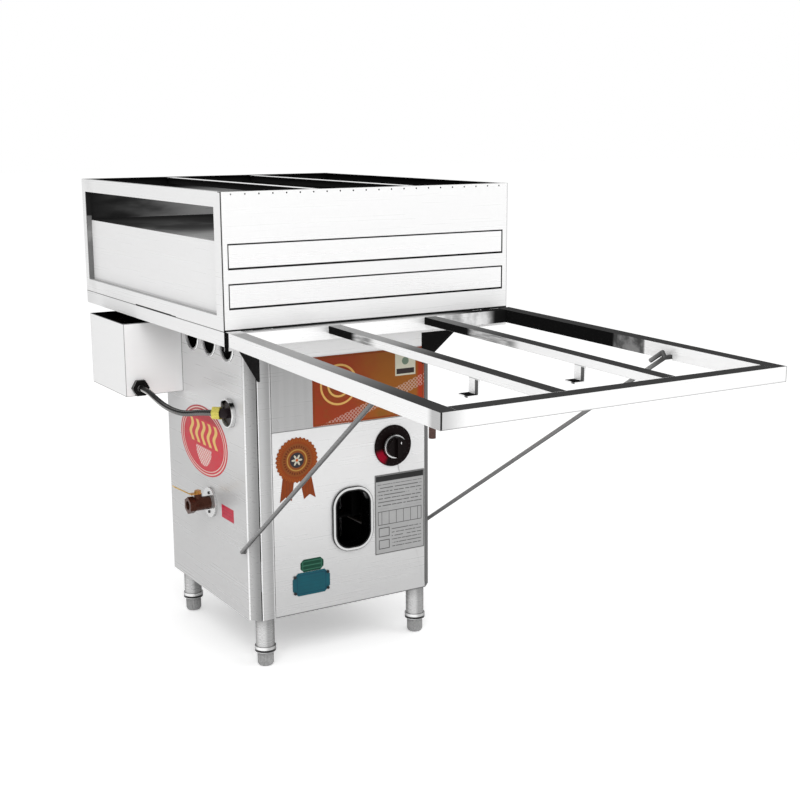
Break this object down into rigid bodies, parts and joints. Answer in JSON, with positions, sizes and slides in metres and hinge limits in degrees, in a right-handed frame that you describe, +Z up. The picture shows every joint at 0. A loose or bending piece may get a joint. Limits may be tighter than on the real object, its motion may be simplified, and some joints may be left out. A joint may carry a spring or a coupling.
{
  "type": "rice noodle roll steamer",
  "caption": "Gas-fired drawer steamer on legs, with a slim base cabinet, a wide steam box, a strutted front shelf and a side water box.",
  "frame": {"origin": "middle of the object's footprint, on the floor", "axes": "+Z up, -Y out of the drawer fronts, +X to the right seen from the front"},
  "size_m": [0.656, 1.473, 0.947],
  "materials": {
    "stainless": "satin",
    "mirror_steel": "polished",
    "brass": "machined",
    "black_plastic": "matte",
    "grey_plastic": "matte",
    "dark_enamel": "satin",
    "cast_iron": "rough",
    "plate": "printed",
    "braid": "braided"
  },
  "bodies": {
    "base": {"left_side_panel": "stainless", "right_side_panel": "stainless", "back_panel": "stainless", "front_corner_strip": "stainless", "front_fascia": "stainless", "front_panel": "stainless", "floor_plate": "stainless", "corner_gussets": "dark_enamel", "leg_tubes": "mirror_steel", "leg_collars": "mirror_steel", "deck_pan": "stainless", "water_tank": "stainless", "burner_head": "cast_iron", "fire_shroud": "stainless", "gas_pipes": "brass", "control_valve": "brass", "dial_plate": "black_plastic", "sight_port": "mirror_steel", "rating_plate": "plate", "small_screws": "dark_enamel", "inlet_flange": "mirror_steel", "inlet_valve_body": "brass", "water_box": "stainless", "float_valve": "brass", "braided_hose": "braid", "tank_hose_fitting": "mirror_steel", "hose_hole_rim": "mirror_steel", "hose_elbow": "dark_enamel", "hose_nut": "mirror_steel", "box_front_panel": "stainless", "box_back_panel": "stainless", "box_right_panel": "stainless", "left_side_frame": "stainless", "chamber_roof": "stainless", "left_chamber_wall": "stainless", "right_chamber_wall": "stainless", "top_bars": "stainless", "shelf_hinges": "stainless"},
    "upper_drawer": {"upper_drawer": "stainless", "upper_tray": "stainless"},
    "lower_drawer": {"lower_drawer": "stainless", "lower_tray": "stainless"},
    "shelf": {"shelf_left_rail": "stainless", "shelf_right_rail": "stainless", "shelf_front_rail": "stainless", "shelf_back_rail": "stainless", "shelf_bar_left": "stainless", "shelf_bar_right": "stainless", "shelf_spigot": "brass"},
    "strut_left": {"strut_left": "stainless"},
    "strut_right": {"strut_right": "stainless"},
    "spindle": {"knob_spindle": "brass"},
    "knob": {"gas_knob": "black_plastic", "knob_ring": "mirror_steel"},
    "gas_lever": {"valve_lever": "brass"},
    "float": {"float_arm": "brass"},
    "foot_front_left": {"foot_front_left": "grey_plastic"},
    "foot_front_right": {"foot_front_right": "grey_plastic"},
    "foot_rear_left": {"foot_rear_left": "grey_plastic"},
    "foot_rear_right": {"foot_rear_right": "grey_plastic"}
  },
  "joints": [
    {"name": "upper_drawer_slide", "type": "slide", "parent": "base", "child": "upper_drawer", "axis": [0, -1, 0], "range_m": [0, 0.6]},
    {"name": "lower_drawer_slide", "type": "slide", "parent": "base", "child": "lower_drawer", "axis": [0, -1, 0], "range_m": [0, 0.6]},
    {"name": "shelf_hinge", "type": "hinge", "parent": "base", "child": "shelf", "pos_m": [0.007, -0.01951, 0.697], "axis": [1, 0, 0], "range_deg": [-85, 0]},
    {"name": "strut_left_slide", "type": "slide", "parent": "base", "child": "strut_left", "axis": [-1, 0, 0], "range_m": [0, 0.008]},
    {"name": "strut_right_slide", "type": "slide", "parent": "base", "child": "strut_right", "axis": [1, 0, 0], "range_m": [0, 0.008]},
    {"name": "knob_push", "type": "slide", "parent": "base", "child": "spindle", "axis": [0, 1, 0], "range_m": [0, 0.004], "stiffness_N_per_m": 600, "springref_m": -0.002},
    {"name": "knob_turn", "type": "hinge", "parent": "spindle", "child": "knob", "pos_m": [0.119, 0.10699, 0.418], "axis": [0, -1, 0], "range_deg": [0, 180]},
    {"name": "gas_lever_turn", "type": "hinge", "parent": "base", "child": "gas_lever", "pos_m": [-0.232, 0.29949, 0.3225], "axis": [0, 0, 1], "range_deg": [0, 90]},
    {"name": "float_arm_swing", "type": "hinge", "parent": "base", "child": "float", "pos_m": [-0.265, 0.59329, 0.64], "axis": [-1, 0, 0], "range_deg": [0, 22]},
    {"name": "foot_front_left_screw", "type": "hinge", "parent": "base", "child": "foot_front_left", "pos_m": [-0.169, 0.12899, 0.042], "axis": [0, 0, 1], "continuous": true},
    {"name": "foot_front_right_screw", "type": "hinge", "parent": "base", "child": "foot_front_right", "pos_m": [0.183, 0.12899, 0.042], "axis": [0, 0, 1], "continuous": true},
    {"name": "foot_rear_left_screw", "type": "hinge", "parent": "base", "child": "foot_rear_left", "pos_m": [-0.169, 0.49949, 0.042], "axis": [0, 0, 1], "continuous": true},
    {"name": "foot_rear_right_screw", "type": "hinge", "parent": "base", "child": "foot_rear_right", "pos_m": [0.183, 0.49949, 0.042], "axis": [0, 0, 1], "continuous": true}
  ]
}
